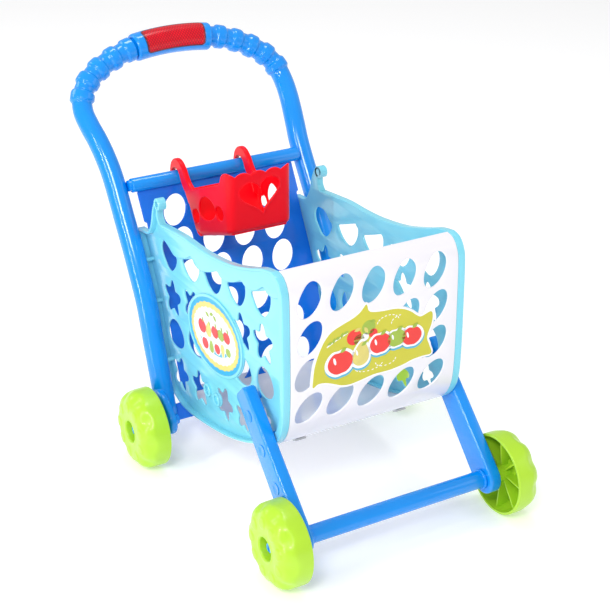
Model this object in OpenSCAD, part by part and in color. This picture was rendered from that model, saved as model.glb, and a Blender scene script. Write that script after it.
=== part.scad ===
// Child's push-along shopping cart in moulded plastic.
// Lengths in millimetres, +Z up, front of the cart towards -Y. Left (-X) and right (+X) are as seen from the front.
// Heights are from the ground; lengths along the cart are laid out from the front axle
// and shifted by place() so that the origin is under the middle of the cart.

/* [Wheels] */
// Outer radius of the wheels
wheel_r = 45; // [42:0.5:46]
// Width of the wheels
wheel_w = 32; // [31:0.5:33]
// Radius of the stub axles
axle_r = 6; // [5.5:0.1:6.2]
// Distance between the front and rear axles
wheelbase = 275; // [273:1:277]

/* [Frame] */
// Radius of the frame tube
tube_r = 12.5; // [12:0.25:13]
// Wall thickness of the frame tube
tube_wall = 2; // [1.6:0.1:3]
// Distance from the middle to the centre of an upright
upright_x = 122; // [121:0.5:123]
// Radius of the crossbar that the caddy hangs on
bar_r = 8.3; // [8:0.1:8.5]
// Radius of the tube between the front legs
cross_r = 9.5; // [9:0.25:10.5]
// Width of a front leg, seen from the side
leg_w = 25; // [23:0.5:27]
// Thickness of a front leg, across the cart
leg_t = 14; // [12:0.5:15]

/* [Basket] */
// Distance from the middle to the inner face of a side wall
wall_x = 98.5; // [98:0.1:99]
// Thickness of the side walls
plate_t = 2.2; // [1.8:0.1:2.6]
// How far the rim of a side wall reaches out from its inner face
rim_d = 8.5; // [8:0.25:8.5]
// Width of the rim edge
rim_t = 3; // [2:0.25:3.5]
// Thickness of the white sheet
sheet_t = 1.8; // [1.4:0.1:2.4]
// Thickness of the back panel
panel_t = 2.4; // [2:0.1:3]

/* [Caddy] */
// Sideways place of the caddy on the crossbar
caddy_x = -7.5; // [-12:0.5:12]
// Width of the caddy across the back
caddy_w = 89; // [84:1:92]
// Wall thickness of the caddy
caddy_t = 2.4; // [2:0.1:3]

/* [Hidden] */

mid_y = 240.7;         // front axle to the middle of the cart
bar_y = 403.5;        // crossbar centre
bar_z = 283;
bore_gap = 0.06;      // running clearance of a wheel on its stub
front_x = 124;        // open inner edge of a front wheel
rear_x = 147.5;       // open inner edge of a rear wheel
rim_x = wall_x + rim_d;
plate_x = wall_x + plate_t;
leg_x = 107.2;        // inner face of a front leg
axle_z = wheel_r;
socket_r = 5;         // peg sockets low on the side walls

blue = "royalblue"; cyan = "paleturquoise"; lime = "yellowgreen";

// ---- general curves -------------------------------------------------------

function cr(a, b, c, d, t) = 0.5 * ((2 * b) + (c - a) * t + (2 * a - 5 * b + 4 * c - d) * t * t
  + (3 * b - a - 3 * c + d) * t * t * t);
// smooth open curve through points, k steps a span
function curve(p, k) = let (n = len(p)) [for (i = [0 : n - 2]) for (j = [0 : k - 1])
  cr(p[max(i - 1, 0)], p[i], p[i + 1], p[min(i + 2, n - 1)], j / k), p[n - 1]];
function unit(v) = v / norm(v);
// unit normals of a line in a plane, to the right of its direction: inwards on the wall's outline
function nrm(p, i) = let (a = p[max(i - 1, 0)], b = p[min(i + 1, len(p) - 1)], d = unit(b - a)) [d[1], -d[0]];
function shift(p, d) = [for (i = [0 : len(p) - 1]) p[i] + d * nrm(p, i)];
function wrapn(p, i) = let (n = len(p), a = p[(i + n - 1) % n], b = p[(i + 1) % n], d = unit(b - a)) [d[1], -d[0]];
function wrapshift(p, d) = [for (i = [0 : len(p) - 1]) p[i] + d * wrapn(p, i)];
function rev(p) = [for (i = [len(p) - 1 : -1 : 0]) p[i]];
function rot2(p, a) = [p[0] * cos(a) - p[1] * sin(a), p[0] * sin(a) + p[1] * cos(a)];
function put(pts, c, a) = [for (p = pts) rot2(p, a) + c];

// closed skin over rings of equal length; a loop joins the last ring to the first
module skin(rings, loop = false) {
  n = len(rings[0]); m = len(rings);
  pts = [for (r = rings) for (p = r) p];
  sides = [for (i = [0 : m - (loop ? 1 : 2)]) for (j = [0 : n - 1]) let (k = (i + 1) % m)
    each [[i * n + j, i * n + (j + 1) % n, k * n + (j + 1) % n], [i * n + j, k * n + (j + 1) % n, k * n + j]]];
  caps = loop ? [] : [[for (j = [n - 1 : -1 : 0]) j], [for (j = [0 : n - 1]) (m - 1) * n + j]];
  polyhedron(points = pts, faces = concat(sides, caps), convexity = 6);
}

module place() { translate([0, -mid_y, 0]) children(); }
// a flat shape drawn in (y, z), standing from x0 to x1
module slab(x0, x1) { translate([x0, 0, 0]) rotate([90, 0, 90]) linear_extrude(height = x1 - x0) children(); }
module rod(x0, x1, y, z, r) { translate([x0, y, z]) rotate([0, 90, 0]) cylinder(r = r, h = x1 - x0, $fn = 48); }
module mirrored(side) { if (side < 0) mirror([1, 0, 0]) children(); else children(); }

// ---- frame tube -----------------------------------------------------------

// middle of the handle down to the foot, for the +X side
PATH = [[0, 510, 414], [28, 509, 413], [55, 507, 410], [80, 504, 402.5], [101, 500.5, 392.5], [117, 494.5, 381],
  [127, 487, 368], [131, 477, 354], [130, 463, 341], [127, 448, 327], [124, 433, 309], [122, 418, 287],
  [122, 392, 248], [122, 372, 218], [122, 354, 188], [122, 342, 166], [122, 334, 145], [122, 327, 123],
  [122, 319, 101], [122, 311, 79], [122, 303, 58], [122, 297.5, 42], [122, 294, 30]];
LINE = curve(PATH, 3);
function tangent(p, i) = i == 0 ? [1, 0, 0] : unit(p[min(i + 1, len(p) - 1)] - p[max(i - 1, 0)]);
function level(t) = unit(cross(t, [0, 0.9, -0.44]));
function ring(c, t, r, n) = let (u = level(t), v = cross(t, u)) [for (j = [0 : n - 1])
  let (a = -360 * j / n) c + r * (cos(a) * u + sin(a) * v)];
// raised beads of the grip, by place along the line
BEADS = [6, 9, 12, 15, 18];
function bead(i) = 1 + 0.1 * max([for (b = BEADS) max(0, 1 - abs(i - b) / 1.2)]);

module frame_half() {
  difference() {
    union() {
      skin(concat([for (i = [0 : len(LINE) - 1]) ring(LINE[i], tangent(LINE, i), tube_r * bead(i), 14)],
        [for (i = [len(LINE) - 1 : -1 : 0]) ring(LINE[i], tangent(LINE, i), tube_r - tube_wall, 14)]), true);
      // foot round the rear axle
      slab(upright_x - 5, upright_x + tube_r)
        polygon([[258, 50], [262, 60], [282, 82], [294, 90], [312, 90], [304, 66], [299, 46], [294, 26], [284, 24], [275, 45]]);
      rod(upright_x - 5, upright_x + tube_r, wheelbase, axle_z, 18);
      rod(upright_x - tube_r + 3, upright_x + tube_r - 1, 293, 33, 9);
      rod(upright_x + tube_r - 1, rear_x - 2.5, wheelbase, axle_z, 10);
    }
    rod(upright_x - 3, rear_x + 1, wheelbase, axle_z, axle_r);
  }
}
module frame_left() { color(blue) place() mirrored(-1) frame_half(); }
module frame_right() { color(blue) place() frame_half(); }

// ---- clip at the middle of the handle --------------------------------------

ARC = curve([[-62, 506, 408.5], [-55, 507, 410], [-28, 509, 413], [0, 510, 414], [28, 509, 413], [55, 507, 410], [62, 506, 408.5]], 5);
function arc_at(x) = let (k = [for (i = [0 : len(ARC) - 2]) if (ARC[i][0] <= x && ARC[i + 1][0] > x) i][0],
  f = (x - ARC[k][0]) / (ARC[k + 1][0] - ARC[k][0])) ARC[k] + f * (ARC[k + 1] - ARC[k]);
clip_a = -52; clip_b = 46; win_a = -43; win_b = 38;
// section point at angle a; 108 faces forward and up, the middle of the front half
function sec(x, a, r) = let (c = arc_at(x), t = unit(arc_at(x + 1) - arc_at(x - 1)),
  v = unit(cross(t, [0, 0.79, 0.61])), u = unit(cross(v, t))) c + r * (cos(a) * u + sin(a) * v);
function outer_r(x) = let (e = min(x - clip_a, clip_b - x)) 16.6 - (e < 3 ? (3 - e) * (3 - e) * 0.2 : 0);
module half_sleeve(a0, a1, dip) {
  xs = [clip_a, clip_a + 1, clip_a + 3, win_a - 0.2, win_a, -30, -20, -10, 0, 10, 20, 30, win_b, win_b + 0.2, clip_b - 3, clip_b - 1, clip_b];
  n = 18;
  skin([for (x = rev(xs)) concat(
    [for (j = [0 : n]) let (a = a0 + (a1 - a0) * j / n)
      sec(x, a, outer_r(x) - ((dip > 0 && x >= win_a && x <= win_b && abs(a - (a0 + a1) / 2) < 65) ? dip : 0))],
    [for (j = [n : -1 : 0]) let (a = a0 + (a1 - a0) * j / n) sec(x, a, tube_r + 0.1)])]);
}
module grip_clip_front() { color(blue) place() half_sleeve(18, 198, 2); }
module grip_clip_back() { color(blue) place() half_sleeve(198, 378, 0); }
module grip_lens() {
  xs = [win_a + 0.3, -30, -20, -10, 0, 10, 20, 30, win_b - 0.3];
  color("crimson") place() skin([for (x = rev(xs)) concat(
    [for (j = [0 : 12]) sec(x, 108 - 58.5 + 117 * j / 12, 17)],
    [for (j = [12 : -1 : 0]) sec(x, 108 - 58.5 + 117 * j / 12, 14.7)])]);
}
module clip_screws() {
  color("silver") place() for (x = [-34, 28]) {
    c = arc_at(x);
    translate(c) rotate([-34, 0, 0]) { translate([0, 0, 0]) rotate([-90, 0, 0]) translate([0, 0, 14.2])
      { cylinder(r = 1.5, h = 3, $fn = 24); translate([0, 0, 2.5]) cylinder(r = 3, h = 1.6, $fn = 32); } }
  }
}

// ---- bars and legs ----------------------------------------------------------

module crossbar() {
  color(blue) place() {
    rod(-108, 108, bar_y, bar_z, bar_r);
    rod(-upright_x + tube_r - 1.5, upright_x - tube_r + 1.5, bar_y + 0.6, bar_z, 6.5);
  }
}
module front_cross_tube() {
  color(blue) place() difference() {
    union() { rod(-leg_x, leg_x, 0, axle_z, cross_r); for (s = [-1, 1]) rod(s > 0 ? leg_x - 3 : -leg_x, s > 0 ? leg_x : -leg_x + 3, 0, axle_z, cross_r + 1.5); }
    rod(-leg_x - 1, -leg_x + 16, 0, axle_z, axle_r);
    rod(leg_x - 16, leg_x + 1, 0, axle_z, axle_r);
  }
}
// straight strut leaning 45 degrees, wider and round at the axle, squarer at the top
module leg() {
  h = leg_w / 2 + 0.8; c = 6;
  difference() {
    union() {
      rod(leg_x, leg_x + leg_t, 0, axle_z, h + 3.7);
      slab(leg_x, leg_x + leg_t) offset(r = c) polygon([for (v = [[0, h + 3.6 - c], [151 , h - c], [158, h - c - 1], [158, c - h + 1], [151, c - h], [0, c - h - 3.6]])
        rot2(v, 45) + [0, axle_z]]);
      for (p = [[37, 84], [66, 113], [94, 139]]) rod(leg_x + leg_t - 0.5, leg_x + leg_t + 0.8, p[0], p[1], 6.5);
      for (p = [[76, 121], [108, 152]]) rod(plate_x - 0.2, leg_x + 0.5, p[0], p[1], 4);
    }
    rod(leg_x - 1, leg_x + leg_t + 1, 0, axle_z, axle_r);
  }
}
module front_leg_left() { color(blue) place() mirrored(-1) leg(); }
module front_leg_right() { color(blue) place() leg(); }

// ---- basket -------------------------------------------------------------------

// rim of a side wall in (y, z): sheet edge from the rear of the floor to the front of the top
FLOOR = curve([[312, 58], [292, 52], [271, 52], [245, 55], [207, 62], [170, 71], [135, 83], [104, 97], [80, 108],
  [66, 116], [55, 130], [49, 148], [47, 180], [47, 230], [48, 278], [51, 293], [59, 303], [70, 306]], 3);
// top edge back to the hook, round the hook, down the rear edge
CREST = curve([[70, 306], [90, 302], [115, 293], [154, 281], [199, 273], [235, 270], [270, 269], [306, 265], [330, 262]], 3);
HOOK = curve([[330, 262], [335, 268], [335, 277], [328, 282], [328, 288], [336, 290], [343, 284], [349, 272], [353, 258], [359, 246], [368, 239], [391, 236]], 2);
BACK = curve([[391, 232], [386, 226], [378, 212], [367, 189], [354, 163], [342, 128], [331, 93], [322, 68], [312, 58]], 2);
function drop1(p) = [for (i = [1 : len(p) - 1]) p[i]];
RIM = concat(FLOOR, drop1(CREST), drop1(HOOK), BACK);
RIMW = [for (i = [0 : len(RIM) - 2]) RIM[i]];

function egg(w, h) = [for (a = [0 : 18 : 342]) [w / 2 * cos(a) * (1 - 0.18 * sin(a)), h / 2 * sin(a)]];
function oval(w, h) = [for (a = [0 : 15 : 345]) [w / 2 * cos(a), h / 2 * sin(a)]];
// puffy five-lobed star
function star(r) = [for (a = [0 : 9 : 351]) let (q = r * (0.8 + 0.2 * cos(5 * a))) [q * sin(a), q * cos(a)]];
function scaled(p, w, h) = [for (v = p) [v[0] * w, v[1] * h]];
// pick-shaped holes under the awning: the rear one, and the ones whose top follows a lobe
function pick_rear(w, h) = scaled([[0.5, 0.12], [0.46, 0.3], [0.36, 0.44], [0.2, 0.5], [0, 0.5], [-0.18, 0.42], [-0.28, 0.3], [-0.4, 0.22], [-0.5, 0.12], [-0.46, -0.08],
  [-0.36, -0.26], [-0.22, -0.42], [-0.05, -0.5], [0.12, -0.46], [0.3, -0.28], [0.45, -0.08]], w, h);
function pick(w, h) = scaled([[0.5, 0], [0.3, 0.12], [0, 0.27], [-0.3, 0.43], [-0.42, 0.47], [-0.5, 0.34], [-0.5, 0.1], [-0.42, -0.14], [-0.3, -0.34], [-0.16, -0.46],
  [-0.03, -0.5], [0.12, -0.46], [0.3, -0.34], [0.44, -0.16]], w, h);

WALL_HOLES = [
  put(pick_rear(40, 33), [321, 225], 0), put(pick(43, 33), [265.5, 234], 0), put(pick(41, 32), [211.5, 241], 0),
  put(pick(41, 33), [157.5, 250], 0), put(pick(41, 35), [103.5, 261.5], 0),
  put(star(22), [316, 176], 0), put(star(22), [266, 185], 20), put(star(21), [147, 207], -10), put(star(22), [100, 214], -6),
  put(egg(42, 34), [311, 133], -8), put(egg(42, 34), [258, 145], -8), put(egg(40, 34), [147, 163], -14), put(egg(36, 34), [97, 171], -14),
  put(star(21), [302, 86], 10), put(star(21), [252, 91], -8), put(star(20), [191, 101], 14), put(star(17), [147, 106], 0), put(star(14), [98, 128], 0)];
SOCKETS = [[229.5, 99.5], [207, 98]];
BADGE = [208, 175.5];
function badge_oval(d) = put([for (a = [0 : 6 : 354]) [(61.5 + d) * cos(a), (41.5 + d) * sin(a)]], BADGE, -8);

module rim_area(d) { polygon(d == 0 ? RIMW : wrapshift(RIMW, d)); }
// scalloped lower edge of the awning, from the rear to the front
LOBES = curve([[338, 243], [322, 243.5], [310, 239], [302, 235.5], [295, 235], [286, 237], [271, 242.5], [256, 250], [247, 244.5], [237, 242.5], [224, 245], [209, 250.5],
  [194, 257.5], [186, 254.5], [176, 254], [164, 257], [151, 262.5], [139, 269], [131, 266.5], [122, 266], [107, 271], [91, 281], [83, 277.5], [75, 277], [66, 279], [56, 284]], 2);
AWNING_TOP = shift(curve([[62, 304], [70, 306], [90, 302], [115, 293], [154, 281], [199, 273], [235, 270], [270, 269], [306, 265], [330, 262], [340, 258]], 3), 1.2);
FRONT = curve([[66, 116], [55, 130], [49, 148], [47, 180], [47, 230], [48, 278], [51, 293], [59, 303], [70, 306]], 3);
// everything behind the front face of the back panel
module behind_panel() { polygon(concat(shift(SPINE, 0.05), [[330, 20], [450, 250]])); }
module awning() { polygon(concat(LOBES, AWNING_TOP)); }
module side_wall() {
  difference() {
    union() {
      difference() {
        union() {
          slab(wall_x, plate_x) rim_area(0);
          slab(plate_x, rim_x) difference() { rim_area(0); rim_area(rim_t); }
          slab(plate_x - 0.2, plate_x + 4) awning();
          // broad step of the rim along the front
          slab(plate_x - 0.3, rim_x - 0.8) polygon(concat(shift(FRONT, 1.5), rev(shift(FRONT, 9.5))));
          // inner lip behind the sheet
          slab(wall_x - 4.5, wall_x + 0.2) difference() {
            polygon(concat(shift(FLOOR, sheet_t + 0.05), rev(shift(FLOOR, sheet_t + 2.2))));
            behind_panel();
          }
        }
        for (h = WALL_HOLES) slab(wall_x - 1, plate_x + 1) polygon(h);
      }
      // rolled end of the hook
      rod(wall_x, rim_x + 1, 334, 284, 7);
      for (p = [[345, 162], [319, 98], [365, 206]]) rod(plate_x - 0.2, upright_x - tube_r + 1, p[0], p[1], 4.5);
      // plate under the badge with its raised border
      slab(wall_x + 0.1, plate_x + 0.8) polygon(badge_oval(4));
      slab(plate_x - 0.1, plate_x + 2) difference() { polygon(badge_oval(4)); polygon(badge_oval(0.4)); }
      for (p = SOCKETS) rod(wall_x + 0.1, plate_x + 3, p[0], p[1], socket_r + 2.8);
    }
    rod(wall_x - 1, rim_x + 2, 334, 284, 4.2);
    for (p = SOCKETS) rod(wall_x - 1, plate_x + 4, p[0], p[1], socket_r);
  }
}
module side_wall_left() { color(cyan) place() mirrored(-1) side_wall(); }
module side_wall_right() { color(cyan) place() side_wall(); }

LABEL = curve([[-73, 181], [-73, 190], [-71, 205], [-66, 219], [-60, 230], [-52, 238], [-40, 243], [-28, 247], [-19, 252], [-12, 259], [-9.5, 252], [-5, 249], [7, 247], [22, 246],
  [33, 243], [42, 238], [48, 233], [54, 230], [65, 233], [68, 229], [67, 219], [62, 205], [65, 195], [68, 184.5], [57, 184], [45, 183], [33, 180], [17, 178], [-2, 178], [-17, 175.5],
  [-30, 174], [-40, 175.5], [-48, 179], [-58, 183], [-67, 184], [-73, 181]], 2);
module label_area() { polygon([for (i = [0 : len(LABEL) - 2]) LABEL[i]]); }
// leaning holes, left open only outside the label
module sheet_holes() {
  for (i = [0 : 4]) translate([-76 + 36.5 * i, 277.5]) polygon(put(oval(24, 39), [0, 0], -27));
  for (p = [[-76, 236.5], [38, 234.5], [72, 236.5]]) translate(p) polygon(put(oval(24, 39), [0, 0], -30));
  for (x = [-79, 72]) translate([x, 197]) polygon(put(oval(24, 38), [0, 0], -33));
  for (i = [0 : 4]) translate([-77 + 36.6 * i, 158.5]) polygon(put(oval(23, 39), [0, 0], -42));
}
module basket_sheet() {
  color("ghostwhite") place() difference() {
    slab(-wall_x + 0.2, wall_x - 0.2) difference() { polygon(concat(FLOOR, rev(shift(FLOOR, sheet_t)))); behind_panel(); }
    translate([0, 80, 0]) rotate([90, 0, 0]) linear_extrude(height = 60) difference() { sheet_holes(); offset(delta = 2) label_area(); }
  }
}
module sheet_clips() {
  color("silver") place() for (x = [-72, 50]) translate([x, 76.6, 108.4]) rotate([-27, 0, 0])
    { translate([-6, -4, -2]) cube([12, 8, 2]); translate([0, 0, -0.5]) cylinder(r = 1.5, h = 3.5, $fn = 24); }
}

module badge(x0, x1) { slab(x0, x1) polygon(badge_oval(0)); }
module badge_left() { color("khaki") place() mirrored(-1) badge(plate_x + 0.8, plate_x + 1.6); }
module badge_right() { color("khaki") place() badge(plate_x + 0.8, plate_x + 1.6); }
module front_label() { color("yellowgreen") place() translate([0, 46.75, 0]) rotate([90, 0, 0]) linear_extrude(height = 0.6) label_area(); }

// back panel: bent sheet between the walls, front face along SPINE
SPINE = concat([[400.9, 273.9]], curve([[399, 270], [382, 240], [366, 210], [354, 188], [343, 165], [334, 143], [327, 123], [319, 101], [311, 79], [302, 54], [294, 30]], 2));
TOP = [[400.9, 273.9], [399, 270], [390, 254], [384, 243.5]];
TAIL = [[300.3, 49], [294, 30]];
module panel_hole(x, s, w, h, a) {
  // s is the distance down the leaning upper part
  translate([x, 399 - 0.471 * s, 270 - 0.882 * s]) rotate([-28.1 , 0, 0]) rotate([90, 0, 0]) translate([0, 0, -20]) linear_extrude(height = 40) polygon(put(oval(w, h), [0, 0], a));
}
module low_hole(x, z, w, h, a) { translate([x, 380, z]) rotate([90, 0, 0]) linear_extrude(height = 120) polygon(put(oval(w, h), [0, 0], a)); }
module back_panel() {
  color("mediumblue") place() difference() {
    union() {
      slab(-wall_x + 0.3, wall_x - 0.3) polygon(concat(SPINE, rev(shift(SPINE, -panel_t))));
      // wider top above the walls
      slab(-101, 101) polygon(concat(TOP, rev(shift(TOP, -panel_t))));
      // wider foot below them
      slab(-109, 109) polygon(concat(TAIL, rev(shift(TAIL, -panel_t))));
    }
    for (s = [22.6, 62, 101]) for (x = [-61, -20.5, 20, 60.5]) panel_hole(x, s, 26, 38.5, -28);
    for (z = [145, 108, 71]) for (x = [-61, -20.5, 20, 60.5]) low_hole(x, z, 24, 33, -28);
  }
}

// ---- running gear ---------------------------------------------------------------

// wheel of revolution, x measured outwards from the open inner edge
module wheel(x0, y0) {
  w = wheel_w; r = wheel_r; b = axle_r + bore_gap;
  translate([x0, y0, axle_z]) rotate([0, 90, 0]) {
    rotate_extrude($fn = 72) polygon([[r, 0], [r, 17], [r - 1, 21], [r - 4, 25.5], [r - 9, 29], [r - 15, w - 0.6], [r - 20, w], [r - 29, w - 1], [13.4, w - 1.6], [12.2, w - 3],
      [12.2, 20], [b, 20], [b, -2], [b + 3, -2], [b + 3, 16], [14.6, 17], [14.6, w - 6], [r - 20, w - 3.4], [r - 12, w - 5.6], [r - 6.6, 24], [r - 3.4, 18.5], [r - 2.8, 0]]);
    // ribs between the hub and the tread
    for (i = [0 : 7]) rotate([0, 0, 45 * i]) rotate([90, 0, 0]) translate([0, 0, -0.9]) linear_extrude(height = 1.8)
      polygon([[b + 1.9, 8], [r - 1.5, 5], [r - 1.5, w - 14], [r - 5, w - 8.5], [r - 11, w - 4.8], [r - 20, w - 2.4], [13.4, w - 4], [13.4, w - 14], [b + 1.9, w - 17]]);
  }
}
module wheel_front_left() { color(lime) place() mirrored(-1) wheel(front_x, 0); }
module wheel_front_right() { color(lime) place() wheel(front_x, 0); }
module wheel_rear_left() { color(lime) place() mirrored(-1) wheel(rear_x, wheelbase); }
module wheel_rear_right() { color(lime) place() wheel(rear_x, wheelbase); }

// stub with a split, barbed end beyond the wheel's web
module stub(xa, xb, y0) {
  translate([0, y0, axle_z]) difference() {
    union() {
      rod(xa, xb, 0, 0, axle_r);
      translate([xb - 0.01, 0, 0]) rotate([0, 90, 0]) rotate_extrude($fn = 48) polygon([[0, 0], [axle_r + 1.4, 0], [axle_r + 1.4, 1.5], [axle_r - 1, 5.5], [0, 5.5]]);
    }
    translate([xb - 8, -1, -20]) cube([20, 2, 40]);
  }
}
module axle_front_left() { color(blue) place() mirrored(-1) stub(leg_x - 15, front_x + 20.4, 0); }
module axle_front_right() { color(blue) place() stub(leg_x - 15, front_x + 20.4, 0); }
module axle_rear_left() { color(blue) place() mirrored(-1) stub(upright_x - 3, rear_x + 20.4, wheelbase); }
module axle_rear_right() { color(blue) place() stub(upright_x - 3, rear_x + 20.4, wheelbase); }

// ---- caddy ------------------------------------------------------------------------

// side of the box in (y, z)
SIDE = [[377, 276], [353, 237], [349, 233.4], [345, 232], [341, 232.6], [283, 253], [278, 255.6], [275.6, 261], [276, 320.8], [284, 317], [292, 312], [304, 305.5], [330, 294.5], [361, 281.5]];
function heart(w, h) = [for (a = [0 : 15 : 345]) [w * 0.5 * pow(abs(sin(a)), 3) * sign(sin(a)), h * (0.44 * cos(a) - 0.19 * cos(2 * a) - 0.07 * cos(3 * a) - 0.035 * cos(4 * a))]];
module hook_plate() {
  polygon(curve([[378, 272], [384, 277], [390, 284], [393, 289.5], [397, 292.8], [402.5, 294.2], [408, 293.2], [412.4, 289.5], [414.4, 284.5], [414.4, 279.5], [418.4, 279.5], [418.6, 287], [415, 297.5], [408, 304.3],
    [399.5, 306.8], [391, 305.2], [383, 299.5], [376.5, 291.5], [369.5, 285.5], [360, 281.8]], 2));
  polygon([[360, 281.8], [378, 272], [370, 262], [352, 260]]);
}
module caddy() {
  hw = caddy_w / 2; fw = hw - 5; t = caddy_t;
  color("red") place() translate([caddy_x, 0, 0]) {
    difference() {
      // plan is narrower at the front
      intersection() {
        slab(-hw, hw) polygon(SIDE);
        linear_extrude(height = 500) polygon([[-hw, 400], [-hw, 340], [-fw, 270], [fw, 270], [hw, 340], [hw, 400]]);
      }
      intersection() {
        slab(-hw + t, hw - t) polygon([[372, 277 + 40], [372.5, 272], [350, 236.5], [345.5, 235], [282.5, 256], [278.2, 260], [278.6, 400], [372, 400]]);
        linear_extrude(height = 500) polygon([[-hw + t, 400], [-hw + t, 340], [-fw + t, 270], [fw - t, 270], [hw - t, 340], [hw - t, 400]]);
      }
      translate([-0.5, 290, 297.5]) rotate([90, 0, 0]) linear_extrude(height = 30) polygon(put(heart(50, 40), [0, 0], 7));
      slab(-60, 60) polygon(put(egg(36, 27), [325, 271], -22));
      for (p = [[350, 254], [298, 274]]) slab(-60, 60) polygon(put(oval(17, 17), p, 0));
    }
    // scalloped front edge
    intersection() {
      union() for (x = [-40.5, -21.5, -2.5, 16.5, 35.5]) translate([x, 276 + t, 311.6]) rotate([90, 0, 0]) cylinder(r = 13.4, h = t, $fn = 64);
      translate([-fw, 270, 311]) cube([2 * fw, 12, 20]);
    }
    for (s = [-1, 1]) slab(s < 0 ? -hw : hw - 6, s < 0 ? -hw + 6 : hw) hook_plate();
  }
}

frame_left();
frame_right();
grip_clip_front();
grip_clip_back();
grip_lens();
clip_screws();
crossbar();
back_panel();
side_wall_left();
side_wall_right();
basket_sheet();
sheet_clips();
badge_left();
badge_right();
front_label();
front_leg_left();
front_leg_right();
front_cross_tube();
axle_front_left();
axle_front_right();
axle_rear_left();
axle_rear_right();
wheel_front_left();
wheel_front_right();
wheel_rear_left();
wheel_rear_right();
caddy();
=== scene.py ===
import bpy, bmesh, math
from math import sin, cos, pi, sqrt, radians, atan2
from mathutils import Vector, Matrix


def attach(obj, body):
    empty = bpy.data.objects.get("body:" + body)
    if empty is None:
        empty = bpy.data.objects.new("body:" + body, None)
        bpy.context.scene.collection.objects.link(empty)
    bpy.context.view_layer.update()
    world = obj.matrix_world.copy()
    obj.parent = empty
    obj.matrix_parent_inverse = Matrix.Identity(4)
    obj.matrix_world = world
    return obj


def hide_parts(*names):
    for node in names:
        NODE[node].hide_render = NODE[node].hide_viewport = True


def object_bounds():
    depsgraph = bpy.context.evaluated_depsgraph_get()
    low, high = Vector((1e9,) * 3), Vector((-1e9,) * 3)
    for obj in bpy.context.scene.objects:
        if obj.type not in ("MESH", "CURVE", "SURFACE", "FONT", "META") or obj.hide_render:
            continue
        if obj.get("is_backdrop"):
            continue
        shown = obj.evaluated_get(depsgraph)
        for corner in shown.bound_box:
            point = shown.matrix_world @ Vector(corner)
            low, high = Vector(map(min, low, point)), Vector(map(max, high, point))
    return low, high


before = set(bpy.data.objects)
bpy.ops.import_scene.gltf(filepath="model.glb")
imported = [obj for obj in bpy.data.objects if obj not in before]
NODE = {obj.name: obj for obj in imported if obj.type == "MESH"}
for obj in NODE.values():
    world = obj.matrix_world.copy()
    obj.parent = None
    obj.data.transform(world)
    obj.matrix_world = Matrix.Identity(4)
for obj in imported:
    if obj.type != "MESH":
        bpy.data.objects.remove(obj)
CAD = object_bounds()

MY = 240.7               # front axle to the middle of the cart's box, mm
WALL_X, PLATE_T, RIM_D, SHEET_T, PANEL_T = 98.5, 2.2, 8.5, 1.8, 2.4
PLATE_X, RIM_X = WALL_X + PLATE_T, WALL_X + RIM_D
WR, WW = 45.0, 32.0


def W(p):
    """measuring frame in mm to the row frame in metres"""
    return Vector((p[0] * 0.001, (p[1] - MY) * 0.001, p[2] * 0.001))


# ---------------------------------------------------------------- curves
def cr(a, b, c, d, t):
    return 0.5 * ((2 * b) + (c - a) * t + (2 * a - 5 * b + 4 * c - d) * t * t + (3 * b - a - 3 * c + d) * t * t * t)


def curve(pts, k):
    p = [Vector(q) for q in pts]
    n = len(p)
    out = []
    for i in range(n - 1):
        for j in range(k):
            out.append(cr(p[max(i - 1, 0)], p[i], p[i + 1], p[min(i + 2, n - 1)], j / k))
    out.append(p[-1].copy())
    return out


def loop_curve(pts, k):
    p = [Vector(q) for q in pts]
    n = len(p)
    return [cr(p[i - 1], p[i], p[(i + 1) % n], p[(i + 2) % n], j / k) for i in range(n) for j in range(k)]


def nrm(p, i):
    a, b = p[max(i - 1, 0)], p[min(i + 1, len(p) - 1)]
    d = (b - a).normalized()
    return Vector((d[1], -d[0]))


def shift(p, d):
    return [p[i] + d * nrm(p, i) for i in range(len(p))]


def wrapshift(p, d):
    out = []
    n = len(p)
    for i in range(n):
        t = (p[(i + 1) % n] - p[i - 1]).normalized()
        out.append(p[i] + d * Vector((t[1], -t[0])))
    return out


def lengths(p):
    s = [0.0]
    for a, b in zip(p, p[1:]):
        s.append(s[-1] + (b - a).length)
    return s


def at(p, s, v):
    """point and unit tangent of the polyline p at arc length v"""
    v = max(0.0, min(s[-1] - 1e-9, v))
    lo, hi = 0, len(s) - 1
    while hi - lo > 1:
        m = (lo + hi) // 2
        if s[m] <= v:
            lo = m
        else:
            hi = m
    f = (v - s[lo]) / max(1e-12, s[hi] - s[lo])
    a = p[lo].lerp(p[hi], f)
    t0 = (p[hi] - p[lo]).normalized()
    i0, i1 = max(lo - 1, 0), min(hi + 1, len(p) - 1)
    ta = (p[hi] - p[i0]).normalized()
    tb = (p[i1] - p[lo]).normalized()
    t = ta.lerp(tb, f)
    return a, (t.normalized() if t.length > 1e-9 else t0)


def sst(a, b, x):
    t = max(0.0, min(1.0, (x - a) / (b - a)))
    return t * t * (3 - 2 * t)


def put(pts, c, a=0.0):
    ca, sa = cos(radians(a)), sin(radians(a))
    return [Vector((x * ca - y * sa + c[0], x * sa + y * ca + c[1])) for x, y in pts]


def oval(w, h, n=48):
    return [(w / 2 * cos(2 * pi * i / n), h / 2 * sin(2 * pi * i / n)) for i in range(n)]


def egg(w, h, n=44):
    return [(w / 2 * cos(2 * pi * i / n) * (1 - 0.18 * sin(2 * pi * i / n)), h / 2 * sin(2 * pi * i / n)) for i in range(n)]


def star(r, n=60, k=0.2):
    return [(r * (1 - k + k * cos(5 * 2 * pi * i / n)) * sin(2 * pi * i / n), r * (1 - k + k * cos(5 * 2 * pi * i / n)) * cos(2 * pi * i / n)) for i in range(n)]


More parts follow.
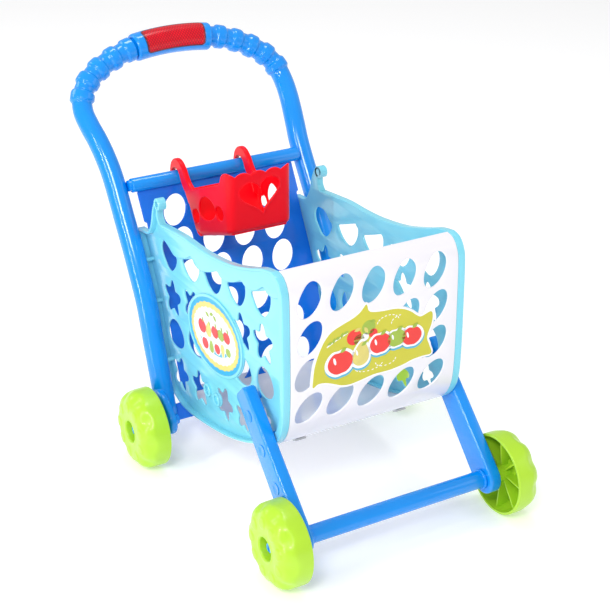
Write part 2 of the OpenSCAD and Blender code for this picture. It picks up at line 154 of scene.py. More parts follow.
def heart(w, h, n=56):
    out = []
    for i in range(n):
        a = 2 * pi * i / n
        out.append((w * 0.5 * sin(a) ** 3, h * (0.44 * cos(a) - 0.19 * cos(2 * a) - 0.07 * cos(3 * a) - 0.035 * cos(4 * a))))
    return out


def rrect(w, h, r, n=6):
    out = []
    for cx, cy, a0 in ((w / 2 - r, h / 2 - r, 0), (-w / 2 + r, h / 2 - r, 90), (-w / 2 + r, -h / 2 + r, 180), (w / 2 - r, -h / 2 + r, 270)):
        for i in range(n + 1):
            a = radians(a0 + 90 * i / n)
            out.append((cx + r * cos(a), cy + r * sin(a)))
    return out


# ---------------------------------------------------------------- meshes
def new_obj(name, me, mats):
    ob = bpy.data.objects.new(name, me)
    bpy.context.scene.collection.objects.link(ob)
    for m in (mats if isinstance(mats, (list, tuple)) else [mats]):
        me.materials.append(m)
    return ob


class Bag:
    """faces of several closed shells, in mm of the measuring frame"""

    def __init__(self):
        self.v, self.f, self.m = [], [], []

    def add(self, verts, faces, mat=0, flip=False):
        o = len(self.v)
        self.v += [Vector(p) for p in verts]
        for f in faces:
            g = [o + i for i in f]
            self.f.append(g[::-1] if flip else g)
            self.m.append(mat)
        return self

    def mirror(self):
        b = Bag()
        b.v = [Vector((-p[0], p[1], p[2])) for p in self.v]
        b.f = [f[::-1] for f in self.f]
        b.m = list(self.m)
        return b

    def mesh(self, name, angle=32, fix=True):
        me = bpy.data.meshes.new(name)
        me.from_pydata([W(p) for p in self.v], [], self.f)
        for i, m in enumerate(self.m):
            me.polygons[i].material_index = m
        bm = bmesh.new()
        bm.from_mesh(me)
        if fix:
            bmesh.ops.remove_doubles(bm, verts=bm.verts, dist=2e-6)
            bmesh.ops.dissolve_degenerate(bm, dist=1e-7, edges=bm.edges)
            bmesh.ops.recalc_face_normals(bm, faces=bm.faces)
        bm.to_mesh(me)
        bm.free()
        me.shade_smooth()
        if angle:
            me.set_sharp_from_angle(angle=radians(angle))
        return me


def clean(loop, gap=0.12, turn=156):
    """the loop without near-repeated points and without points where it doubles back"""
    p = [Vector((q[0], q[1])) for q in loop]
    again = True
    while again and len(p) > 6:
        again = False
        out = []
        for q in p:
            if not out or (q - out[-1]).length > gap:
                out.append(q)
        while len(out) > 3 and (out[0] - out[-1]).length <= gap:
            out.pop()
        n = len(out)
        keep = []
        i = 0
        drop = set()
        for i in range(n):
            if (i - 1) % n in drop:
                continue
            a, b = out[i] - out[i - 1], out[(i + 1) % n] - out[i]
            if a.length > 1e-9 and b.length > 1e-9 and a.angle(b) > radians(turn):
                drop.add(i)
        keep = [out[i] for i in range(n) if i not in drop]
        again = bool(drop)
        p = keep
    return p


def inset(loop, d):
    """closed loop moved inwards by d, without the knots that tight corners give"""
    out = []
    for q in wrapshift(loop, d):
        if min((near_seg(q, loop[i - 1], loop[i]) for i in range(len(loop)))) > d * 0.985:
            out.append(q)
    return out


def near_seg(q, a, b):
    ab = b - a
    t = max(0.0, min(1.0, (q - a).dot(ab) / max(1e-9, ab.dot(ab))))
    return (q - (a + t * ab)).length


def flat(outer, holes, t, bevel=0.5, res=2):
    """closed plate over a 2D outline with holes, middle plane w=0: vertices (u, v, w) and faces"""
    cu = bpy.data.curves.new("tmp", "CURVE")
    cu.dimensions = "2D"
    cu.fill_mode = "BOTH"
    cu.extrude = max(0.0, t / 2 - bevel)
    cu.bevel_depth = bevel
    cu.bevel_resolution = res
    cu.offset = -bevel
    for k, ring in enumerate([clean(outer)] + [clean(h) for h in holes]):
        sp = cu.splines.new("POLY")
        sp.points.add(len(ring) - 1)
        for i, p in enumerate(ring):
            sp.points[i].co = (p[0], p[1], 0, 1)
        sp.use_cyclic_u = True
    ob = bpy.data.objects.new("tmp", cu)
    bpy.context.scene.collection.objects.link(ob)
    dg = bpy.context.evaluated_depsgraph_get()
    me = bpy.data.meshes.new_from_object(ob.evaluated_get(dg))
    v = [tuple(q.co) for q in me.vertices]
    f = [tuple(p.vertices) for p in me.polygons]
    bpy.data.objects.remove(ob)
    bpy.data.curves.remove(cu)
    bpy.data.meshes.remove(me)
    return v, f


def cuts(vf, us=(), vs=()):
    """extra edges at these u and v so that the plate can bend"""
    v, f = vf
    me = bpy.data.meshes.new("tmp")
    me.from_pydata(v, [], f)
    bm = bmesh.new()
    bm.from_mesh(me)
    bmesh.ops.remove_doubles(bm, verts=bm.verts, dist=1e-4)
    for k, vals in ((0, us), (1, vs)):
        no = Vector((1, 0, 0)) if k == 0 else Vector((0, 1, 0))
        for q in vals:
            bmesh.ops.bisect_plane(bm, geom=bm.verts[:] + bm.edges[:] + bm.faces[:], dist=1e-5, plane_co=no * q, plane_no=no)
    bm.verts.ensure_lookup_table()
    bm.verts.index_update()
    out = [tuple(q.co) for q in bm.verts], [tuple(w.index for w in p.verts) for p in bm.faces]
    bm.free()
    bpy.data.meshes.remove(me)
    return out


def slab(bag, outer, holes, x0, x1, bevel=0.5, res=2, mat=0):
    """plate drawn in (y, z), from x0 to x1"""
    v, f = flat(outer, holes, x1 - x0, bevel, res)
    mid = (x0 + x1) / 2
    bag.add([(mid + w, u, q) for u, q, w in v], f, mat)


def lathe_x(bag, prof, y, z, n=64, mat=0, x0=0.0):
    """closed profile of (x, r) turned about an X axis through (y, z)"""
    m = len(prof)
    v = [(x0 + x, y + r * cos(2 * pi * j / n), z + r * sin(2 * pi * j / n)) for x, r in prof for j in range(n)]
    f = []
    for i in range(m):
        for j in range(n):
            a, b = i * n + j, i * n + (j + 1) % n
            c, d = ((i + 1) % m) * n + (j + 1) % n, ((i + 1) % m) * n + j
            f.append((a, b, c, d))
    bag.add(v, f, mat)


def rod_x(bag, x0, x1, y, z, r, bevel=0.8, n=48, mat=0):
    b = bevel
    prof = [(x0, 0.0)] + [(x0 + b - b * cos(pi / 2 * i / 4), r - b + b * sin(pi / 2 * i / 4)) for i in range(5)] \
        + [(x1 - b + b * sin(pi / 2 * i / 4), r - b + b * cos(pi / 2 * i / 4)) for i in range(5)] + [(x1, 0.0)]
    m = len(prof)
    v = [(x0, y, z)] + [(x, y + q * cos(2 * pi * j / n), z + q * sin(2 * pi * j / n)) for x, q in prof[1:-1] for j in range(n)] + [(x1, y, z)]
    f = []
    for j in range(n):
        f.append((0, 1 + (j + 1) % n, 1 + j))
    for i in range(m - 3):
        for j in range(n):
            a, b2 = 1 + i * n + j, 1 + i * n + (j + 1) % n
            f.append((a, b2, b2 + n, a + n))
    last = len(v) - 1
    base = 1 + (m - 3) * n
    for j in range(n):
        f.append((base + j, base + (j + 1) % n, last))
    bag.add(v, f, mat)


def sweep(bag, path, radius, n=40, mat=0):
    """closed round tube along path; radius(i, s)"""
    s = lengths(path)
    m = len(path)
    up = Vector((0, 0.9, -0.44))
    rings = []
    for i, p in enumerate(path):
        t = (path[min(i + 1, m - 1)] - path[max(i - 1, 0)]).normalized()
        if i == 0:
            t = Vector((1, 0, 0))
        u = t.cross(up).normalized()
        w = t.cross(u)
        r = radius(i, s[i])
        rings.append([p + r * (cos(2 * pi * j / n) * u + sin(2 * pi * j / n) * w) for j in range(n)])
    v = [q for g in rings for q in g]
    f = [(i * n + j, i * n + (j + 1) % n, (i + 1) * n + (j + 1) % n, (i + 1) * n + j) for i in range(m - 1) for j in range(n)]
    f.append(tuple(range(n - 1, -1, -1)))
    f.append(tuple((m - 1) * n + j for j in range(n)))
    bag.add(v, f, mat)


def remeshed(name, bag, voxel, smooth=4, factor=0.5):
    """one skin round overlapping closed shells, with soft fillets"""
    me = bag.mesh(name + "_raw", angle=None)
    ob = bpy.data.objects.new(name + "_raw", me)
    bpy.context.scene.collection.objects.link(ob)
    r = ob.modifiers.new("r", "REMESH")
    r.mode = "VOXEL"
    r.voxel_size = voxel * 0.001
    if smooth:
        q = ob.modifiers.new("s", "SMOOTH")
        q.factor = factor
        q.iterations = smooth
    dg = bpy.context.evaluated_depsgraph_get()
    out = bpy.data.meshes.new_from_object(ob.evaluated_get(dg))
    bpy.data.objects.remove(ob)
    bpy.data.meshes.remove(me)
    out.name = name
    out.materials.clear()
    out.shade_smooth()
    return out


def mirrored_mesh(me, name):
    out = me.copy()
    out.name = name
    bm = bmesh.new()
    bm.from_mesh(out)
    for v in bm.verts:
        v.co.x = -v.co.x
    bmesh.ops.reverse_faces(bm, faces=bm.faces)
    bm.to_mesh(out)
    bm.free()
    return out


# ---------------------------------------------------------------- materials
def srgb(r, g, b):
    def f(c):
        return c / 12.92 if c <= 0.04045 else ((c + 0.055) / 1.055) ** 2.4
    return (f(r), f(g), f(b), 1.0)


def plastic(name, col, rough=0.28, coat=0.25, tint=0.06, bump=0.06, grain=900.0, cloud=28.0, spec=0.5, transmission=0.0, sss=0.0):
    """moulded plastic: cloudy tint, uneven gloss and a faint moulded grain"""
    m = bpy.data.materials.new(name)
    m.use_nodes = True
    nt = m.node_tree
    nt.nodes.clear()
    out = nt.nodes.new("ShaderNodeOutputMaterial")
    b = nt.nodes.new("ShaderNodeBsdfPrincipled")
    nt.links.new(b.outputs[0], out.inputs[0])
    tc = nt.nodes.new("ShaderNodeTexCoord")
    n1 = nt.nodes.new("ShaderNodeTexNoise")
    n1.inputs["Scale"].default_value = cloud
    n1.inputs["Detail"].default_value = 3.0
    nt.links.new(tc.outputs["Object"], n1.inputs["Vector"])
    ramp = nt.nodes.new("ShaderNodeValToRGB")
    e = ramp.color_ramp.elements
    e[0].position, e[1].position = 0.3, 0.7
    e[0].color = (col[0] * (1 - tint), col[1] * (1 - tint), col[2] * (1 - tint * 0.6), 1)
    e[1].color = (min(1, col[0] * (1 + tint)), min(1, col[1] * (1 + tint)), min(1, col[2] * (1 + tint * 0.6)), 1)
    nt.links.new(n1.outputs["Fac"], ramp.inputs["Fac"])
    nt.links.new(ramp.outputs["Color"], b.inputs["Base Color"])
    n2 = nt.nodes.new("ShaderNodeTexNoise")
    n2.inputs["Scale"].default_value = 90.0
    n2.inputs["Detail"].default_value = 4.0
    nt.links.new(tc.outputs["Object"], n2.inputs["Vector"])
    mr = nt.nodes.new("ShaderNodeMapRange")
    mr.inputs["From Min"].default_value = 0.3
    mr.inputs["From Max"].default_value = 0.7
    mr.inputs["To Min"].default_value = rough - 0.04
    mr.inputs["To Max"].default_value = rough + 0.06
    nt.links.new(n2.outputs["Fac"], mr.inputs["Value"])
    nt.links.new(mr.outputs["Result"], b.inputs["Roughness"])
    n3 = nt.nodes.new("ShaderNodeTexNoise")
    n3.inputs["Scale"].default_value = grain
    n3.inputs["Detail"].default_value = 2.0
    nt.links.new(tc.outputs["Object"], n3.inputs["Vector"])
    bp = nt.nodes.new("ShaderNodeBump")
    bp.inputs["Strength"].default_value = bump
    bp.inputs["Distance"].default_value = 0.0004
    nt.links.new(n3.outputs["Fac"], bp.inputs["Height"])
    nt.links.new(bp.outputs["Normal"], b.inputs["Normal"])
    b.inputs["Coat Weight"].default_value = coat
    b.inputs["Coat Roughness"].default_value = 0.08
    b.inputs["Specular IOR Level"].default_value = spec
    if transmission:
        b.inputs["Transmission Weight"].default_value = transmission
    if sss:
        b.inputs["Subsurface Weight"].default_value = sss
        b.inputs["Subsurface Radius"].default_value = (0.6, 0.6, 0.6)
        b.inputs["Subsurface Scale"].default_value = 0.003
    return m


BLUE = plastic("blue_gloss", srgb(0.0, 0.56, 0.93), rough=0.15, coat=0.4, tint=0.02, bump=0.012, spec=0.4)
ROYAL = plastic("royal_gloss", srgb(0.0, 0.45, 0.90), rough=0.2, coat=0.2, tint=0.02, bump=0.012, spec=0.4)
CYAN = plastic("cyan_gloss", srgb(0.50, 0.84, 0.92), rough=0.2, coat=0.25, tint=0.02, bump=0.012)
WHITE = plastic("white_sheet_gloss", srgb(0.93, 0.92, 0.945), rough=0.2, coat=0.3, tint=0.01, bump=0.01)
LIME = plastic("lime_satin", srgb(0.69, 0.87, 0.18), rough=0.32, coat=0.15, tint=0.025, bump=0.025)
RED = plastic("red_satin", srgb(1.0, 0.0, 0.10), rough=0.32, coat=0.0, tint=0.02, bump=0.02, spec=0.22)
OLIVE = plastic("print_olive", srgb(0.80, 0.78, 0.20), rough=0.36, coat=0.1, tint=0.03, bump=0.01)
PWHITE = plastic("print_white", srgb(0.97, 0.97, 0.98), rough=0.36, coat=0.1, tint=0.01, bump=0.01)
PCREAM = plastic("print_cream", srgb(0.93, 0.93, 0.92), rough=0.4, coat=0.1, tint=0.02, bump=0.01, cloud=60)
PBLUE = plastic("print_blue", srgb(0.10, 0.66, 0.88), rough=0.34, coat=0.1, tint=0.03, bump=0.01)
PYELLOW = plastic("print_yellow", srgb(0.88, 0.82, 0.45), rough=0.38, coat=0.1, tint=0.06, bump=0.01, cloud=90)
PRED = plastic("print_red", srgb(0.93, 0.20, 0.18), rough=0.36, coat=0.1, tint=0.02, bump=0.01)
PGREEN = plastic("print_green", srgb(0.62, 0.73, 0.25), rough=0.38, coat=0.1, tint=0.06, bump=0.01, cloud=90)
PDARK = plastic("print_plum", srgb(0.22, 0.12, 0.26), rough=0.4, coat=0.1, tint=0.03, bump=0.01)
PSKY = plastic("print_sky", srgb(0.33, 0.70, 0.82), rough=0.36, coat=0.1, tint=0.03, bump=0.01)
GREY = plastic("clip_grey", srgb(0.80, 0.80, 0.80), rough=0.4, coat=0.1, tint=0.03, bump=0.02)
STEEL = plastic("screw_zinc", srgb(0.68, 0.68, 0.70), rough=0.3, coat=0.0, tint=0.03, bump=0.02, cloud=400)
STEEL.node_tree.nodes["Principled BSDF"].inputs["Metallic"].default_value = 1.0


def lens_material():
    m = plastic("lens_red", srgb(0.90, 0.03, 0.15), rough=0.2, coat=0.15, spec=0.3, tint=0.10, bump=0.0, cloud=70)
    nt = m.node_tree
    b = nt.nodes["Principled BSDF"]
    tc = nt.nodes["Texture Coordinate"]
    hs = []
    for ang in (38, -38):
        mp = nt.nodes.new("ShaderNodeMapping")
        mp.inputs["Rotation"].default_value = (radians(-56), 0, radians(ang))
        nt.links.new(tc.outputs["Object"], mp.inputs["Vector"])
        w = nt.nodes.new("ShaderNodeTexWave")
        w.inputs["Scale"].default_value = 115.0
        nt.links.new(mp.outputs["Vector"], w.inputs["Vector"])
        hs.append(w)
    mx = nt.nodes.new("ShaderNodeMath")
    mx.operation = "MULTIPLY"
    nt.links.new(hs[0].outputs["Fac"], mx.inputs[0])
    nt.links.new(hs[1].outputs["Fac"], mx.inputs[1])
    ramp = nt.nodes["Color Ramp"]
    old = ramp.outputs["Color"]
    mix = nt.nodes.new("ShaderNodeMixRGB")
    mix.blend_type = "MULTIPLY"
    mix.inputs[0].default_value = 0.75
    nt.links.new(old, mix.inputs[1])
    r2 = nt.nodes.new("ShaderNodeValToRGB")
    r2.color_ramp.elements[0].color = (0.45, 0.35, 0.35, 1)
    r2.color_ramp.elements[1].color = (1, 1, 1, 1)
    r2.color_ramp.elements[1].position = 0.5
    nt.links.new(mx.outputs[0], r2.inputs["Fac"])
    nt.links.new(r2.outputs["Color"], mix.inputs[2])
    nt.links.new(mix.outputs["Color"], b.inputs["Base Color"])
    bp = nt.nodes["Bump"]
    bp.inputs["Strength"].default_value = 0.25
    bp.inputs["Distance"].default_value = 0.0003
    nt.links.new(mx.outputs[0], bp.inputs["Height"])
    return m


LENS = lens_material()
LENS_EDGE = plastic("lens_edge", srgb(0.45, 0.03, 0.07), rough=0.2, coat=0.6)

# ---------------------------------------------------------------- outlines of the basket, as in the part
FLOOR = curve([[312, 58], [292, 52], [271, 52], [245, 55], [207, 62], [170, 71], [135, 83], [104, 97], [80, 108],
               [66, 116], [55, 130], [49, 148], [47, 180], [47, 230], [48, 278], [51, 293], [59, 303], [70, 306]], 6)
CREST = curve([[70, 306], [90, 302], [115, 293], [154, 281], [199, 273], [235, 270], [270, 269], [306, 265], [330, 262]], 6)
HOOK = curve([[330, 262], [335, 268], [335, 277], [328, 282], [328, 288], [336, 290], [343, 284], [349, 272], [353, 258], [359, 246], [368, 239], [391, 236]], 6)
BACK = curve([[391, 232], [386, 226], [378, 212], [367, 189], [354, 163], [342, 128], [331, 93], [322, 68], [312, 58]], 6)
RIMW = (FLOOR + CREST[1:] + HOOK[1:] + BACK)[:-1]
FRONT = curve([[66, 116], [55, 130], [49, 148], [47, 180], [47, 230], [48, 278], [51, 293], [59, 303], [70, 306]], 6)
LOBES = curve([[338, 243], [322, 243.5], [310, 239], [302, 235.5], [295, 235], [286, 237], [271, 242.5], [256, 250], [247, 244.5], [237, 242.5], [224, 245], [209, 250.5],
               [194, 257.5], [186, 254.5], [176, 254], [164, 257], [151, 262.5], [139, 269], [131, 266.5], [122, 266], [107, 271], [91, 281], [83, 277.5], [75, 277], [66, 279], [56, 284]], 5)
AWNING_TOP = shift(curve([[62, 304], [70, 306], [90, 302], [115, 293], [154, 281], [199, 273], [235, 270], [270, 269], [306, 265], [330, 262], [340, 258]], 6), 1.2)


def scaled(p, w, h):
    return [Vector((a * w, b * h)) for a, b in p]


PICK_REAR = [[0.5, 0.12], [0.46, 0.3], [0.36, 0.44], [0.2, 0.5], [0, 0.5], [-0.18, 0.42], [-0.28, 0.3], [-0.4, 0.22], [-0.5, 0.12], [-0.46, -0.08],
             [-0.36, -0.26], [-0.22, -0.42], [-0.05, -0.5], [0.12, -0.46], [0.3, -0.28], [0.45, -0.08]]
PICK = [[0.5, 0], [0.3, 0.12], [0, 0.27], [-0.3, 0.43], [-0.42, 0.47], [-0.5, 0.34], [-0.5, 0.1], [-0.42, -0.14], [-0.3, -0.34], [-0.16, -0.46],
        [-0.03, -0.5], [0.12, -0.46], [0.3, -0.34], [0.44, -0.16]]


def pick(w, h, rear=False):
    return loop_curve(scaled(PICK_REAR if rear else PICK, w, h), 3)


BADGE = (208, 175.5)
SOCKETS = [(229.5, 99.5), (207, 98)]
SOCKET_R = 5.0


def badge_oval(d, n=96):
    return put([((61.5 + d) * cos(2 * pi * i / n), (41.5 + d) * sin(2 * pi * i / n)) for i in range(n)], BADGE, -8)


def inside_badge(p, d):
    q = put([(p[0] - BADGE[0], p[1] - BADGE[1])], (0, 0), 8)[0]
    return (q[0] / (61.5 + d)) ** 2 + (q[1] / (41.5 + d)) ** 2 < 1


def clip_by(poly, inside, push):
    """the loop with its points inside the zone moved to the zone's border"""
    return [push(p) if inside(p) else p for p in poly]


def out_of_badge(poly, d=4.6):
    def push(p):
        q = put([(p[0] - BADGE[0], p[1] - BADGE[1])], (0, 0), 8)[0]
        k = sqrt((q[0] / (61.5 + d)) ** 2 + (q[1] / (41.5 + d)) ** 2)
        q = put([(q[0] / k, q[1] / k)], BADGE, -8)[0]
        return q
    return clip_by(poly, lambda p: inside_badge(p, d), push)


def out_of_disc(poly, c, r):
    def push(p):
        v = Vector(p) - Vector(c)
        return Vector(c) + v * (r / max(v.length, 1e-6))
    return clip_by(poly, lambda p: (Vector(p) - Vector(c)).length < r, push)


WALL_HOLES = [put(pick(40, 33, True), (321, 225)), put(pick(43, 33), (265.5, 234)), put(pick(41, 32), (211.5, 241)),
              put(pick(41, 33), (157.5, 250)), put(pick(41, 35), (103.5, 261.5)),
              put(star(22), (316, 176)), out_of_badge(put(star(22, 120), (266, 185), 20)), out_of_badge(put(star(21, 120), (147, 207), -10)), put(star(22), (100, 214), -6),
              put(egg(42, 34), (311, 133), -8), out_of_badge(put(egg(42, 34, 96), (258, 145), -8)), out_of_badge(put(egg(40, 34, 96), (147, 163), -14)), put(egg(36, 34), (97, 171), -14),
              put(star(21), (302, 86), 10), put(star(21), (252, 91), -8), out_of_disc(put(star(20, 120), (191, 101), 14), SOCKETS[1], 8.4), put(star(17), (147, 106)), put(star(14), (98, 128))]


# ---------------------------------------------------------------- frame
PATH = [[0, 510, 414], [28, 509, 413], [55, 507, 410], [80, 504, 402.5], [101, 500.5, 392.5], [117, 494.5, 381],
        [127, 487, 368], [131, 477, 354], [130, 463, 341], [127, 448, 327], [124, 433, 309], [122, 418, 287],
        [122, 392, 248], [122, 372, 218], [122, 354, 188], [122, 342, 166], [122, 334, 145], [122, 327, 123],
        [122, 319, 101], [122, 311, 79], [122, 303, 58], [122, 297.5, 42], [122, 294, 31]]
LINE = curve(PATH, 14)
LINE_S = lengths(LINE)
BEADS = [60.0, 81.5, 103.0, 124.0, 144.5]


def tube_radius(i, s):
    r = 11.85 + 0.4 * sst(150.0, 260.0, s) - 0.9 * sst(LINE_S[-1] - 50, LINE_S[-1] - 5, s)
    for c in BEADS:
        r = max(r, 11.85 + 2.5 * (1 - sst(4.4, 7.2, abs(s - c))))
    # rounded lower end
    e = LINE_S[-1] - s
    if e < 8.0:
        r -= 8.0 - sqrt(max(0.0, 64.0 - (8.0 - e) ** 2))
    return r


def frame_half():
    b = Bag()
    sweep(b, LINE, tube_radius, 56)
    foot = [(260, 44), (262, 54), (272, 62), (288, 72), (305, 72), (301, 56), (297, 42), (292, 31), (282, 30), (270, 32)]
    slab(b, loop_curve(foot, 4), [], 125, 134.0, 3.0, 4)
    rod_x(b, 125.0, 134.4, 275, WR, 15.5, 3.0)
    rod_x(b, 132, 144.8, 275, WR, 10, 1.0)
    return remeshed("frame_right_skin", b, 0.85, 3)


fr = frame_half()
for side, me in (("left", mirrored_mesh(fr, "frame_left_skin")), ("right", fr)):
    ob = new_obj("tube_" + side, me, BLUE)
    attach(ob, "root"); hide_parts("frame_" + side)

# crossbar
b = Bag()
rod_x(b, -108, 108, 403.5, 283, 8.3, 1.4, 64)
rod_x(b, -111, 111, 404.1, 283, 6.5, 0.3, 48)
ob = new_obj("bar", b.mesh("bar"), BLUE)
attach(ob, "root"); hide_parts("crossbar")

# ---------------------------------------------------------------- handle clip
ARC = curve([[-62, 506, 408.5], [-55, 507, 410], [-28, 509, 413], [0, 510, 414], [28, 509, 413], [55, 507, 410], [62, 506, 408.5]], 8)
CA, CB, WA, WB = -52.0, 46.0, -41.0, 36.8


def arc_at(x):
    for a, c in zip(ARC, ARC[1:]):
        if a[0] <= x < c[0]:
            return a.lerp(c, (x - a[0]) / (c[0] - a[0]))
    return ARC[-1]


def sec(x, a, r):
    c = arc_at(x)
    t = (arc_at(x + 1) - arc_at(x - 1)).normalized()
    v = t.cross(Vector((0, 0.79, 0.61))).normalized()
    u = v.cross(t).normalized()
    return c + r * (cos(radians(a)) * u + sin(radians(a)) * v)


def sleeve_r(x):
    e = min(x - CA, CB - x)
    return 16.5 - (2.6 * (1 - sqrt(max(0.0, 1 - ((3.5 - e) / 3.5) ** 2))) if e < 3.5 else 0)


def window(x, a):
    """1 inside the lens window, 0 outside, with round corners"""
    u = abs(x - (WA + WB) / 2) - ((WB - WA) / 2 - 5)
    v = abs(a - 108) * pi / 180 * 15.5 - (radians(60) * 15.5 - 5)
    d = sqrt(max(u, 0) ** 2 + max(v, 0) ** 2) + min(max(u, v), 0) - 5
    return 1 - sst(-0.45, 0.45, d)


def sleeve(a0, a1, win):
    xs = [CA + 3.5 * (1 - cos(pi / 2 * i / 7)) for i in range(8)]
    n = int((CB - CA - 7) / 0.7)
    xs += [CA + 3.5 + (CB - CA - 7) * i / n for i in range(1, n)]
    xs += [CB - 3.5 * (1 - sin(pi / 2 * i / 7)) for i in range(8)]
    m = 110
    v = []
    for x in xs:
        for j in range(m + 1):
            a = a0 + (a1 - a0) * j / m
            v.append(sec(x, a, sleeve_r(x) - (1.6 * window(x, a) if win else 0)))
        for j in range(m, -1, -1):
            a = a0 + (a1 - a0) * j / m
            v.append(sec(x, a, 12.6))
    k = 2 * (m + 1)
    f = [(i * k + j, i * k + (j + 1) % k, (i + 1) * k + (j + 1) % k, (i + 1) * k + j) for i in range(len(xs) - 1) for j in range(k)]
    f.append(tuple(range(k - 1, -1, -1)))
    f.append(tuple((len(xs) - 1) * k + j for j in range(k)))
    return v, f


b = Bag(); b.add(*sleeve(18.3, 197.7, True))
ob = new_obj("grip_shell_front", b.mesh("grip_shell_front", 50), BLUE)
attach(ob, "root"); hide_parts("grip_clip_front")
b = Bag(); b.add(*sleeve(198.3, 377.7, False))
ob = new_obj("grip_shell_back", b.mesh("grip_shell_back", 50), BLUE)
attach(ob, "root"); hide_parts("grip_clip_back")

# lens: a bent window pane with round corners and a dark frame
R0 = 15.6
b = Bag()
half = radians(58.5) * R0
pane = put(rrect(WB - WA - 1.2, 2 * half, 4.5, 8), ((WA + WB) / 2, 0))
v, f = cuts(flat(pane, [], 1.8, 0.6, 3), [WA + 2 * i for i in range(1, 41)], [-half + half / 14 * i for i in range(1, 28)])
b.add([sec(x, 108 + math.degrees(y / R0), R0 + 0.05 + w) for x, y, w in v], f, 0)
rim_o = put(rrect(WB - WA - 0.9, 2 * half + 0.3, 4.6, 8), ((WA + WB) / 2, 0))
rim_i = put(rrect(WB - WA - 4.2, 2 * half - 3.0, 3.4, 8), ((WA + WB) / 2, 0))
v, f = cuts(flat(rim_o, [rim_i], 1.2, 0.3, 2), [WA + 2 * i for i in range(1, 41)], [-half + half / 14 * i for i in range(1, 28)])
b.add([sec(x, 108 + math.degrees(y / R0), R0 + 0.6 + w) for x, y, w in v], f, 1)
ob = new_obj("grip_window", b.mesh("grip_window", 50), [LENS, LENS_EDGE])
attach(ob, "root"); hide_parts("grip_lens")

# ---------------------------------------------------------------- side walls
def side_wall():
    b = Bag()
    slab(b, RIMW, WALL_HOLES, WALL_X, PLATE_X, 0.7, 3)
    slab(b, RIMW, [inset(RIMW, 3.0)], PLATE_X - 0.6, RIM_X, 1.0, 3)
    slab(b, shift(FRONT, 1.5) + shift(FRONT, 9.5)[::-1], [], PLATE_X - 0.6, RIM_X - 0.8, 1.0, 3)
    slab(b, LOBES + AWNING_TOP, [], PLATE_X - 1.0, PLATE_X + 4.0, 1.2, 3)
    slab(b, shift(FLOOR, SHEET_T + 0.05) + shift(FLOOR, SHEET_T + 2.2)[::-1], [], WALL_X - 4.5, WALL_X + 0.5, 0.3, 2)
    # badge seat with its raised border
    slab(b, badge_oval(4), [badge_oval(0.4)], PLATE_X - 1.0, PLATE_X + 2.0, 0.8, 3)
    slab(b, badge_oval(2), [], WALL_X + 0.2, PLATE_X + 0.78, 0.1, 1)
    for p in SOCKETS:
        r = SOCKET_R
        lathe_x(b, [(WALL_X, r), (PLATE_X + 2.4, r), (PLATE_X + 3, r + 0.6), (PLATE_X + 3, r + 2), (PLATE_X + 2.2, r + 2.8), (WALL_X, r + 2.8)], p[0], p[1], 48)
    # rolled end of the hook
    lathe_x(b, [(WALL_X, 4.2), (RIM_X + 0.4, 4.2), (RIM_X + 1, 4.8), (RIM_X + 1, 6.2), (RIM_X + 0.2, 7), (WALL_X, 7)], 334, 284, 48)
    for p in ((345, 162), (319, 98), (365, 206)):
        rod_x(b, PLATE_X - 0.5, 110.5, p[0], p[1], 2.5, 0.3, 32)
    return b


wall = side_wall()
for side, bag in (("left", wall.mirror()), ("right", wall)):
    ob = new_obj("wall_" + side, bag.mesh("wall_" + side, 34), CYAN)
    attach(ob, "root"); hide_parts("side_wall_" + side)

# ---------------------------------------------------------------- sheet
FLOOR_S = lengths(FLOOR)


def z_to_s(z):
    """arc length along FLOOR of the front face point at height z"""
    for i in range(len(FLOOR) - 1):
        a, c = FLOOR[i], FLOOR[i + 1]
        if a[0] < 70 and a[1] <= z <= c[1]:
            return FLOOR_S[i] + (FLOOR_S[i + 1] - FLOOR_S[i]) * (z - a[1]) / max(1e-6, c[1] - a[1])
    return FLOOR_S[-1]


def on_sheet(x, s, depth):
    """depth inwards from the outer face"""
    p, t = at(FLOOR, FLOOR_S, s)
    n = Vector((t[1], -t[0]))
    q = p + depth * n
    return (x, q[0], q[1])


LABEL = loop_curve([[-73, 181], [-73, 190], [-71, 205], [-66, 219], [-60, 230], [-52, 238], [-40, 243], [-28, 247], [-19, 252], [-12, 259], [-9.5, 252], [-5, 249], [7, 247], [22, 246],
                    [33, 243], [42, 238], [48, 233], [54, 230], [65, 233], [68, 229], [67, 219], [62, 205], [65, 195], [68, 184.5], [57, 184], [45, 183], [33, 180], [17, 178], [-2, 178], [-17, 175.5],
                    [-30, 174], [-40, 175.5], [-48, 179], [-58, 183], [-67, 184]], 4)


def inside_poly(p, poly):
    c = False
    n = len(poly)
    for i in range(n):
        a, d = poly[i], poly[i - 1]
        if (a[1] > p[1]) != (d[1] > p[1]) and p[0] < (d[0] - a[0]) * (p[1] - a[1]) / (d[1] - a[1]) + a[0]:
            c = not c
    return c


def nearest_on(p, poly):
    best, bd = None, 1e18
    n = len(poly)
    for i in range(n):
        a, d = poly[i], poly[(i + 1) % n]
        ab = d - a
        t = max(0.0, min(1.0, (Vector(p) - a).dot(ab) / max(1e-9, ab.dot(ab))))
        q = a + t * ab
        e = (Vector(p) - q).length
        if e < bd:
            best, bd = q, e
    return best


def grow(poly, d):
    """loop moved outwards by d, whichever way it runs"""
    area = sum(poly[i - 1][0] * poly[i][1] - poly[i][0] * poly[i - 1][1] for i in range(len(poly)))
    return wrapshift(poly, d if area > 0 else -d)


LABEL_OUT = grow(LABEL, 2.6)


def out_of_label(poly):
    return [nearest_on(p, LABEL_OUT) if inside_poly(p, LABEL_OUT) else p for p in poly]


